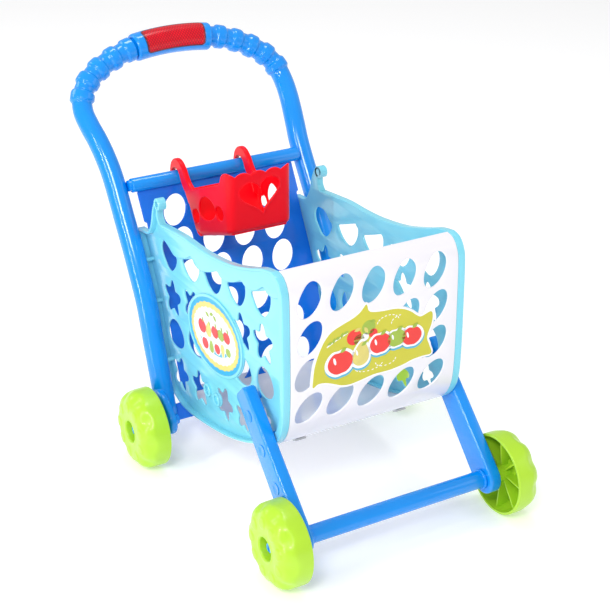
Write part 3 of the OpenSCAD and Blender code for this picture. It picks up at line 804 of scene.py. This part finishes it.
def sheet_hole_list():
    hs = [put(oval(24, 39, 64), (-76 + 36.5 * i, 277.5), -27) for i in range(5)]
    hs += [put(oval(24, 39, 128), c, -30) for c in ((-76, 236.5), (38, 234.5), (72, 236.5))]
    hs += [put(oval(24, 38, 128), (x, 197), -33) for x in (-79, 72)]
    hs += [put(oval(23, 39, 96), (-77 + 36.6 * i, 158.5), -42) for i in range(5)]
    return [out_of_label(h) for h in hs]


S_END = FLOOR_S[-1]
holes_s = [[Vector((p[0], z_to_s(p[1]))) for p in h] for h in sheet_hole_list()]
outer = [Vector((-98.2, 0.3)), Vector((98.2, 0.3)), Vector((98.2, S_END - 0.2)), Vector((-98.2, S_END - 0.2))]
bends = [s for s in FLOOR_S[1:-1]]
v, f = cuts(flat(outer, holes_s, SHEET_T, 0.5, 3), [-60, -20, 20, 60], bends)
b = Bag()
b.add([on_sheet(x, s, SHEET_T / 2 - w) for x, s, w in v], f)
ob = new_obj("sheet", b.mesh("sheet", 34), WHITE)
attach(ob, "root"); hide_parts("basket_sheet")


# ---------------------------------------------------------------- front label, on the sheet
def sticker(bag, loop, layer, mat, holes=(), t=0.12, lift=0.0):
    """a thin printed shape drawn in (x, z) on the front of the sheet"""
    v, f = flat(loop, holes, t, 0.03, 1)
    v, f = cuts((v, f), (), [180 + 10 * i for i in range(9)])
    bag.add([on_sheet(x, z_to_s(z), -(lift + layer * 0.1 + w)) for x, z, w in v], f, mat)


def ribbon_pts(pts, wdt, k=8):
    """wavy band of width wdt along pts, with round ends"""
    p = curve(pts, k)
    L = shift(p, -wdt / 2)
    R = shift(p, wdt / 2)
    d1 = (p[-1] - p[-2]).normalized()
    d0 = (p[0] - p[1]).normalized()
    cap1 = [p[-1] + wdt / 2 * (cos(a) * Vector((-d1[1], d1[0])) + sin(a) * d1) for a in [pi * i / 8 for i in range(1, 8)]]
    cap0 = [p[0] + wdt / 2 * (cos(a) * Vector((-d0[1], d0[0])) + sin(a) * d0) for a in [pi * i / 8 for i in range(1, 8)]]
    return L + cap1 + R[::-1] + cap0


def disc(r, n=28):
    return [(r * cos(2 * pi * i / n), r * sin(2 * pi * i / n)) for i in range(n)]


def leaf(w, h, n=12):
    return [(-w / 2 + w * i / n, h / 2 * sin(pi * i / n)) for i in range(n)] + [(w / 2 - w * i / n, -h / 2 * sin(pi * i / n)) for i in range(n)]


def apple(r, n=40):
    return [(r * (1.02 + 0.06 * cos(2 * a)) * cos(a), r * (0.98 * sin(a) - 0.16 * math.exp(-((a - pi / 2) / 0.32) ** 2) + 0.08 * math.exp(-((a - 3 * pi / 2) / 0.3) ** 2))) for a in [2 * pi * i / n for i in range(n)]]


def pear(r, n=40):
    return [(r * 0.82 * cos(a) * (1 - 0.34 * sin(a)), r * 1.22 * sin(a)) for a in [2 * pi * i / n for i in range(n)]]


def carrot(r, n=40):
    return [(r * 0.66 * cos(a) * (1 + 0.42 * sin(a)), r * 1.25 * sin(a)) for a in [2 * pi * i / n for i in range(n)]]


label = Bag()
M = {"white": 0, "olive": 1, "red": 2, "sky": 3, "green": 4, "plum": 5, "yellow": 6}
sticker(label, grow(LABEL, 1.9), 0, M["white"], t=0.2)
sticker(label, LABEL, 1.6, M["olive"], t=0.14)
# a row of simple fruit, each with a white border and a blue-green shade below it
ROW = [(apple(13.5), (-42, 202), 8, 13.5), (pear(11.0), (-17.5, 206), -6, 11), (apple(11.5), (5, 212), 4, 11.5), (apple(10.0), (24.5, 213), 6, 10), (apple(11.0), (43, 211), -6, 11)]
for shape, c, a, r in ROW:
    base = put(shape, c, a)
    sticker(label, put([(x * 1.27, y * 1.24) for x, y in shape], (c[0] + 0.6, c[1] - 2.3), a), 2.8, M["sky"])
for shape, c, a, r in ROW:
    sticker(label, put([(x * 1.25, y * 1.22) for x, y in shape], c, a), 4.0, M["white"])
for k, (shape, c, a, r) in enumerate(ROW):
    sticker(label, put(shape, c, a), 5.2, M[("red", "yellow", "red", "green", "red")[k]])
    sticker(label, put(leaf(8.5, 4.0), (c[0] + 3.5, c[1] + r * 0.98), 32), 6.4, M["green"])
    sticker(label, put(oval(r * 0.22, r * 0.62, 20), (c[0] - r * 0.48, c[1] + r * 0.2), 14), 6.4, M["white"])
# bunch above the row
for c, r, col in (((-26, 226), 8.5, "red"), ((-9, 233), 8.0, "green"), ((-20, 222), 6.2, "green"), ((-13, 223.5), 4.2, "white"), ((-3.5, 225.5), 5.0, "red")):
    sticker(label, put(disc(r), c), 2.8, M[col])
for c, a, w in (((-8, 237), 30, 9), ((-12, 231), 120, 8), ((-22, 233.5), 15, 8), ((-4, 239), -20, 7)):
    sticker(label, put(leaf(w, w * 0.5), c, a), 4.0, M["green" if w != 8 else "yellow"])
# sprig on the left: green leaves along a white stem
for i in range(5):
    c = (-54 + 4.6 * i, 226 + 1.9 * i)
    sticker(label, put(leaf(6.4, 3.0), c, 70 if i % 2 else 20), 4.0, M["green"])
sticker(label, ribbon_pts([(-57, 222.8), (-46, 228), (-34, 232.6)], 1.3, 4), 2.8, M["white"])
# dashes
for cx, cz, rx, rz, a0, a1, n in ((14, 233, 13, 8, 20, 165, 8), (30, 231, 12, 7, 100, 175, 4), (-8, 190, 16, 6, 190, 345, 9), (12, 191, 12, 6, 190, 350, 7)):
    for i in range(n):
        a = radians(a0 + (a1 - a0) * i / (n - 1))
        tang = math.degrees(atan2(rz * cos(a), -rx * sin(a)))
        sticker(label, put(rrect(2.5, 0.9, 0.4, 3), (cx + rx * cos(a), cz + rz * sin(a)), tang), 2.4, M["white"], t=0.1)
ob = new_obj("front_sticker", label.mesh("front_sticker", 12, True), [PWHITE, OLIVE, PRED, PSKY, PGREEN, PDARK, PYELLOW])
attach(ob, "root"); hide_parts("front_label")


# ---------------------------------------------------------------- badges
def badge():
    b = Bag()
    X0 = PLATE_X + 0.8

    def lay(loop, layer, mat, holes=(), t=0.12):
        slab(b, loop, holes, X0 + layer * 0.1, X0 + layer * 0.1 + t, 0.03, 1, mat)
    lay(badge_oval(0), 0, 1, t=0.3)
    scal = []
    for i in range(240):
        a = 2 * pi * i / 240
        k = -4.8 + 0.5 * cos(30 * a)
        scal.append(((61.5 + k) * cos(a), (41.5 + k) * sin(a)))
    lay(put(scal, BADGE, -8), 3.2, 2)
    scal = []
    for i in range(240):
        a = 2 * pi * i / 240
        k = -11.6 + 1.3 * abs(cos(15 * a))
        scal.append(((61.5 + k) * cos(a), (41.5 + k) * sin(a)))
    lay(put(scal, BADGE, -8), 4.6, 0)
    # blue swash below
    sw = [(40 * cos(radians(a)), 22 * sin(radians(a))) for a in range(200, 341, 5)] + [(40 * cos(radians(a)), 13 * sin(radians(a)) - 3) for a in range(340, 199, -5)]
    lay(put(sw, BADGE, -8), 6.0, 5)
    # two rows of simple fruit, and leaves; y falls towards the front
    for shape, c, a, col in ((apple(8.6), (237, 176), -6, 3), (pear(7.4), (221, 178), 6, 2), (apple(7.4), (206, 181), -4, 3), (apple(6.8), (192, 183), 8, 6), (apple(7.2), (178, 186), -4, 3)):
        lay(put([(x * 1.2, y * 1.2) for x, y in shape], c, a), 7.2, 4)
        lay(put(shape, c, a), 8.4, col)
        lay(put(leaf(6, 2.8), (c[0] - 2, c[1] + 8), 60), 9.6, 6)
    for shape, c, col in ((apple(7), (230, 158), 3), (pear(6), (215, 160), 6), (apple(6.2), (201, 163), 3), (carrot(6.2), (188, 166), 2), (apple(5.4), (175, 170), 6)):
        lay(put([(x * 1.2, y * 1.2) for x, y in shape], c, -6), 7.2, 4)
        lay(put(shape, c, -6), 8.4, col)
    for c, a in (((224, 195), 20), ((214, 199), -20), ((206, 197), 30)):
        lay(put(leaf(9, 4), c, a), 7.2, 6)
    return b


bd = badge()
for side, bag in (("left", bd.mirror()), ("right", bd)):
    ob = new_obj("badge_sticker_" + side, bag.mesh("badge_sticker_" + side, 12), [PCREAM, PBLUE, PYELLOW, PRED, PWHITE, PSKY, PGREEN])
    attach(ob, "root"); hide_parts("badge_" + side)

# ---------------------------------------------------------------- back panel
SPINE = [Vector((401.6, 275.4))] + curve([[399, 270], [382, 240], [366, 210], [354, 188], [343, 165], [334, 143], [327, 123], [319, 101], [311, 79], [302, 54], [294, 30]], 5)
SP = lengths(SPINE)


def on_panel(x, s, depth):
    p, t = at(SPINE, SP, s)
    n = Vector((t[1], -t[0]))       # towards the front
    q = p - depth * n
    return (x, q[0], q[1])


ph = []
rows = [28.6, 68.0, 107.0]
for z in (145.0, 108.0, 71.0):
    rows.append(min(((abs(at(SPINE, SP, i * 0.5)[0][1] - z), i * 0.5) for i in range(int(SP[-1] * 2))), key=lambda q: q[0])[1])
for k, s in enumerate(rows):
    for x in (-61, -20.5, 20, 60.5):
        # s runs downwards, so the lean is turned round
        ph.append(put(oval(26, 38.5, 56) if k < 3 else oval(24, 35, 56), (x, s), 28))
s243 = [i * 0.5 for i in range(200) if at(SPINE, SP, i * 0.5)[0][1] > 243.5][-1]
s49 = [i * 0.5 for i in range(int(SP[-1] * 2)) if at(SPINE, SP, i * 0.5)[0][1] > 49][-1]
rt = [(100, 0.3), (101, 1.3), (101, s243 - 1), (100.2, s243), (98.2, s243 + 1.5), (98.2, s49 - 1.5), (99.4, s49), (108, s49), (109, s49 + 1), (109, SP[-1] - 1.5), (108, SP[-1] - 0.3)]
outer = put([(-x, q) for x, q in rt] + rt[::-1], (0, 0))
v, f = cuts(flat(outer, ph, PANEL_T, 0.6, 3), [], [SP[-1] * i / 90 for i in range(1, 90)])
b = Bag()
b.add([on_panel(x, s, PANEL_T / 2 + w) for x, s, w in v], f)
ob = new_obj("panel", b.mesh("panel", 34), ROYAL)
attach(ob, "root"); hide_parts("back_panel")


# ---------------------------------------------------------------- front legs
def leg():
    b = Bag()
    # straight sides, wider at the axle; squarer top with rounded corners
    r2 = sqrt(0.5)
    out = []
    for u, w, c, a0, a1, n in ((0, 0, 17.0, 94, 266, 30), (156, -7.3, 6, 270, 360, 8), (156, 7.3, 6, 0, 87, 8)):
        for i in range(n + 1):
            a = radians(a0 + (a1 - a0) * i / n)
            p, q = u + c * cos(a), w + c * sin(a)
            out.append(Vector(((p - q) * r2, WR + (p + q) * r2)))
    slab(b, out, [], 107.2, 121.2, 2.6, 5)
    for p in ((37, 84), (66, 113), (94, 139)):
        lathe_x(b, [(120.6, 0.01), (121.6, 0.01), (121.7, 4.4), (122.0, 5.2), (122.0, 6.0), (121.7, 6.5), (120.6, 6.6)], p[0], p[1], 40)
    for p in ((76, 121), (108, 152)):
        rod_x(b, PLATE_X - 0.1, 108, p[0], p[1], 4, 0.3, 32)
    return b


lg = leg()
for side, bag in (("left", lg.mirror()), ("right", lg)):
    ob = new_obj("strut_" + side, bag.mesh("strut_" + side, 36), BLUE)
    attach(ob, "root"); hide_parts("front_leg_" + side)

b = Bag()
rod_x(b, -107.3, 107.3, 0, WR, 9.5, 0.4, 72)
for s in (-1, 1):
    rod_x(b, min(s * 107.2, s * 103.8), max(s * 107.2, s * 103.8), 0, WR, 11, 0.9, 56)
ob = new_obj("cross_tube", b.mesh("cross_tube", 36), BLUE)
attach(ob, "root"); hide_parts("front_cross_tube")


# ---------------------------------------------------------------- wheels
def wheel():
    b = Bag()
    # outer skin from the open edge over the scalloped shoulder to the hub hole: (x, r, scallop)
    P = [(0.0, 44.4, 0), (0.5, 44.9, 0), (2, 45.0, 0), (8, 45.0, 0), (14, 45.0, 0.1), (17, 44.9, 0.35), (19, 44.6, 0.7), (21, 43.8, 1.0), (23, 42.8, 1.15), (25.5, 41.0, 1.2), (27.5, 38.9, 1.1),
         (29.1, 36.0, 0.9), (30.2, 33.0, 0.6), (30.85, 30.0, 0.3), (31.05, 27.0, 0.1), (30.9, 22.0, 0), (30.6, 18.0, 0), (30.6, 15.6, 0), (30.9, 14.4, 0), (30.7, 13.4, 0), (29.8, 12.5, 0), (28.6, 12.2, 0), (20, 12.2, 0), (20, 6.1, 0),
         (-2, 6.1, 0), (-2, 9.0, 0), (16, 9.0, 0), (17, 14.6, 0), (26, 14.6, 0), (28.4, 25, 0), (26.4, 32.8, 0.3), (23.6, 37.6, 0.9), (18.3, 41.4, 0.6), (10, 42.0, 0), (0, 42.2, 0), (0.0, 43.4, 0)]
    pts = curve([(x, r, k) for x, r, k in P[:20]], 4)[:-1] + [Vector(q) for q in P[19:]]
    n = 180
    v = []
    for q in pts:
        for j in range(n):
            a = 2 * pi * j / n
            r = q[1] * 0.9988 - q[2] * 2.6 * (0.5 - 0.5 * cos(9 * a)) ** 1.5
            x = q[0]
            # round bumps on the face, one behind each petal
            if x > 27 and 20 < q[1] < 37:
                k9 = round(a / (2 * pi / 9))
                ac = 2 * pi * k9 / 9
                d = sqrt((r * cos(a) - 28.5 * cos(ac)) ** 2 + (r * sin(a) - 28.5 * sin(ac)) ** 2)
                x += 0.8 * (1 - sst(5.4, 6.9, d))
            v.append((x, r * cos(a), r * sin(a)))
    m = len(pts)
    f = [(i * n + j, i * n + (j + 1) % n, ((i + 1) % m) * n + (j + 1) % n, ((i + 1) % m) * n + j) for i in range(m) for j in range(n)]
    b.add(v, f)
    rib = [(8, 8), (43.4, 5), (43.4, 18), (40, 23.0), (34, 26.8), (25, 29.2), (13.4, 28), (13.4, 18), (8, 15)]
    rv, rf = flat([Vector(p) for p in rib], [], 1.8, 0.3, 2)
    for i in range(8):
        a = 2 * pi * i / 8
        b.add([(x, r * cos(a) - w * sin(a), r * sin(a) + w * cos(a)) for r, x, w in rv], rf)
    return b


base = wheel()
for name, x0, y0, s in (("front_left", 124.0, 0.0, -1), ("front_right", 124.0, 0.0, 1), ("rear_left", 147.5, 275.0, -1), ("rear_right", 147.5, 275.0, 1)):
    q = Bag()
    q.v = [Vector((x0 + p[0], y0 + p[1], WR + p[2])) for p in base.v]
    q.f = [list(g) for g in base.f]
    q.m = list(base.m)
    if s < 0:
        q = q.mirror()
    ob = new_obj("tyre_" + name, q.mesh("tyre_" + name, 38), LIME)
    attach(ob, "wheel_" + name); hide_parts("wheel_" + name)

# ---------------------------------------------------------------- caddy
CX, CW, CT = -7.5, 89.0, 2.4
HW, FW = CW / 2, CW / 2 - 5


def z_bottom(y):
    if y < 283:
        return 253 + (283 - y) * 0.35
    if y < 341:
        return 253 - (y - 283) * (253 - 232.4) / 58
    return 232.4


def caddy():
    b = Bag()
    t = CT
    R = 6.5
    # half plan of the wall's middle line, from the rear to the middle of the front
    c = 8.0
    left = [Vector((-HW + t / 2, 372)), Vector((-HW + t / 2, 340)), Vector((-FW + t / 2 - 0.2, 276 + c + 2))]
    arc = [Vector((-FW + t / 2 + c - c * cos(radians(a)), 276 + t / 2 + c - c * sin(radians(a)))) for a in range(0, 91, 9)]
    plan = left + arc
    plan = plan + [Vector((-p[0], p[1])) for p in plan[::-1]]
    S = lengths(plan)
    mid = S[-1] / 2

    def u_of_y(y, side):
        # arc length at which the side wall reaches y
        i = min(range(len(plan) // 2), key=lambda k: abs(plan[k][1] - y))
        for k in range(len(plan) // 2 - 1):
            if plan[k][1] >= y >= plan[k + 1][1]:
                q = (plan[k][1] - y) / max(1e-6, plan[k][1] - plan[k + 1][1])
                u = S[k] + q * (S[k + 1] - S[k])
                return u if side < 0 else S[-1] - u
        return S[i] if side < 0 else S[-1] - S[i]

    def top_z(y):
        pts = [(276, 320.8), (284, 317), (292, 312), (304, 305.5), (330, 294.5), (361, 281.5), (366, 280), (372, 278)]
        for (a, za), (c2, zc) in zip(pts, pts[1:]):
            if a <= y <= c2:
                return za + (zc - za) * (y - a) / (c2 - a)
        return 320.8 if y < 276 else 278

    def rear_y(z):
        return 353 + (z - 237) * (377 - 353) / 39.0

    # outline in (u, v): bottom edge, right rear edge, scalloped top, left rear edge
    bot = []
    n = 80
    arc_len = R * pi / 2
    u0, u1 = u_of_y(352, -1), u_of_y(352, 1)
    for i in range(n + 1):
        u = u0 + (u1 - u0) * i / n
        p, _ = at(plan, S, u)
        bot.append(Vector((u, z_bottom(p[1]) + R - arc_len)))
    right = [Vector((u_of_y(rear_y(z) - 0.6, 1), z)) for z in range(238, 277, 4)]
    top = []
    for i in range(241):
        u = S[-1] - 6 - (S[-1] - 12) * i / 240
        p, _ = at(plan, S, u)
        z = top_z(p[1])
        for cxx in (-40.5, -21.5, -2.5, 16.5, 35.5):
            d = abs(u - mid - cxx)
            if d < 13.3:
                z = max(z, 311.6 + sqrt(13.4 ** 2 - d * d))
        top.append(Vector((u, z)))
    leftr = [Vector((u_of_y(rear_y(z) - 0.6, -1), z)) for z in range(274, 237, -4)]
    outline = bot + right + [q for q in top if q[0] < u_of_y(366, 1) and q[0] > u_of_y(366, -1)] + leftr
    holes = [put(heart(50, 40), (mid - 0.5, 297.5), 7)]
    for side in (-1, 1):
        for shp, c0, a in ((egg(36, 27), (325, 271), -22), (oval(17, 17, 36), (350, 254), 0), (oval(17, 17, 36), (298, 274), 0)):
            holes.append([Vector((u_of_y(p[0], side), p[1])) for p in put(shp, c0, a)])
    v, f = cuts(flat(outline, holes, t, 0.5, 2), [S[-1] * i / 150 for i in range(1, 150)], [226 + 1.5 * i for i in range(62)])

    def fold(u, vv, w):
        p, tg = at(plan, S, u)
        n_in = Vector((-tg[1], tg[0]))       # left of the run, towards the inside
        zb = z_bottom(p[1])
        z0 = zb + R
        if vv >= z0:
            q = p - n_in * w
            return (CX + q[0], q[1], vv)
        ph2 = min(pi / 2, (z0 - vv) / R)
        q = p + n_in * (R * (1 - cos(ph2))) - n_in * w * cos(ph2)
        return (CX + q[0], q[1], z0 - R * sin(ph2) - w * sin(ph2))
    b.add([fold(*q) for q in v], f)
    # floor
    ys = [278 + 1.5 * i for i in range(51)]
    lo = [Vector((y, z_bottom(y) - t / 2)) for y in ys]
    hi = [Vector((y, z_bottom(y) + t / 2)) for y in ys[::-1]]

    def half_w(y):
        return (HW if y > 340 else FW + (HW - FW) * max(0, y - 276) / 64.0) - R + 0.6
    for (a, c2) in ((280, 296), (296, 318), (318, 341), (341, 350)):
        k = half_w(a)
        poly = [Vector((a - 0.5, z_bottom(a - 0.5) - t / 2)), Vector((c2 + 0.5, z_bottom(c2 + 0.5) - t / 2)), Vector((c2 + 0.5, z_bottom(c2 + 0.5) + t / 2)), Vector((a - 0.5, z_bottom(a - 0.5) + t / 2))]
        slab(b, poly, [], CX - k, CX + k, 0.2, 1)
    # rear wall, with a rounded foot
    rear = [(377, 276.5), (353, 237), (349.5, 233.2), (345, 231.4), (341, 231.4), (341, 233.9), (344.8, 233.9), (347.6, 235.2), (351, 238.6), (374.6, 277.6)]
    slab(b, [Vector(p) for p in rear], [], CX - HW + 0.4, CX + HW - 0.4, 0.4, 2)
    # hooks
    hook = curve([[378, 272], [384, 277], [390, 284], [393, 289.5], [397, 292.8], [402.5, 294.2], [408, 293.2], [412.4, 289.5], [414.4, 284.5], [414.4, 279.5], [416.4, 278.9], [418.4, 279.5], [418.6, 287], [415, 297.5], [408, 304.3],
                  [399.5, 306.8], [391, 305.2], [383, 299.5], [376.5, 291.5], [369.5, 285.5], [360, 281.8]], 4)
    plate = [Vector((360, 281.8)), Vector((378, 272)), Vector((370, 262)), Vector((352, 260))]
    for s in (-1, 1):
        xa = CX - HW if s < 0 else CX + HW - 6
        slab(b, hook, [], xa, xa + 6, 1.2, 3)
        slab(b, plate, [], xa, xa + 6, 0.8, 2)
    # fine raised lines round the cut-outs of the front
    hr = put(heart(50, 40), (mid - 0.5, 297.5), 7)
    v, f = cuts(flat(grow(hr, 1.5), [grow(hr, 0.0)], 1.0, 0.2, 1), [mid - 40 + 4 * i for i in range(20)], [])
    b.add([fold(u, q, w + t / 2) for u, q, w in v], f)
    return remeshed("caddy_skin", b, 0.6, 3)


ob = new_obj("holder", caddy(), RED)
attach(ob, "caddy"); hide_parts("caddy")

# ---------------------------------------------------------------- CAD pieces that stay
for name, mat in (("clip_screws", STEEL), ("sheet_clips", GREY), ("axle_front_left", BLUE), ("axle_front_right", BLUE), ("axle_rear_left", BLUE), ("axle_rear_right", BLUE)):
    o = NODE[name]
    if not o.material_slots:
        o.data.materials.append(mat)
    for sl in o.material_slots:
        sl.material = mat

# ---------------------------------------------------------------- stage, light, camera
bpy.ops.mesh.primitive_plane_add(size=160, location=(0, 4, -0.0003))
floor = bpy.context.object
floor.name = "ground"
fm = bpy.data.materials.new("ground")
fm.use_nodes = True
fb = fm.node_tree.nodes["Principled BSDF"]
fb.inputs["Base Color"].default_value = (0.965, 0.965, 0.97, 1)
fb.inputs["Roughness"].default_value = 0.9
fb.inputs["Specular IOR Level"].default_value = 0.1
fb.inputs["Emission Color"].default_value = (1, 1, 1, 1)
fb.inputs["Emission Strength"].default_value = 0.2
floor.data.materials.append(fm)
floor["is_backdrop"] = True

world = bpy.data.worlds.new("studio") if not bpy.context.scene.world else bpy.context.scene.world
bpy.context.scene.world = world
world.use_nodes = True
bg = world.node_tree.nodes.get("Background") or world.node_tree.nodes.new("ShaderNodeBackground")
bg.inputs[0].default_value = (1.0, 1.0, 1.0, 1)
bg.inputs[1].default_value = 0.60


def area(name, loc, aim, size, watts, col=(1, 1, 1), size_y=None):
    li = bpy.data.lights.new(name, "AREA")
    li.energy = watts
    li.color = col
    li.size = size
    if size_y:
        li.shape = "RECTANGLE"
        li.size_y = size_y
    o = bpy.data.objects.new(name, li)
    bpy.context.scene.collection.objects.link(o)
    o.location = loc
    o.rotation_euler = (Vector(aim) - Vector(loc)).to_track_quat("-Z", "Y").to_euler()
    return o


area("key", (-1.3, -1.5, 1.9), (0, 0, 0.2), 0.6, 19, size_y=0.5)
area("fill", (1.7, -1.2, 1.0), (0, 0, 0.2), 1.2, 4)
area("top", (0.2, 0.5, 2.2), (0, 0.1, 0.2), 0.8, 11, size_y=0.5)
area("rim", (-1.4, 1.5, 1.3), (0, 0.1, 0.3), 0.8, 6)
area("strip", (-1.9, -0.5, 0.9), (0, 0, 0.25), 0.08, 15, size_y=1.8)

cam = bpy.data.cameras.new("view")
cam.sensor_width = 36.0
cam.lens = 87.954
co = bpy.data.objects.new("view", cam)
bpy.context.scene.collection.objects.link(co)
co.location = (-0.722407, -1.077293 - MY * 0.001, 0.897642)
co.rotation_euler = Vector((0.44596901, 0.78301368, -0.43359108)).to_track_quat("-Z", "Y").to_euler()
bpy.context.scene.camera = co
bpy.context.scene.view_settings.view_transform = "Standard"
bpy.context.scene.view_settings.look = "None"


def plain(b):
    try:
        return [[float(c) for c in v] for v in b]
    except TypeError:
        return [float(c) for c in b]


{"cad": plain(CAD), "visual": plain(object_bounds())}
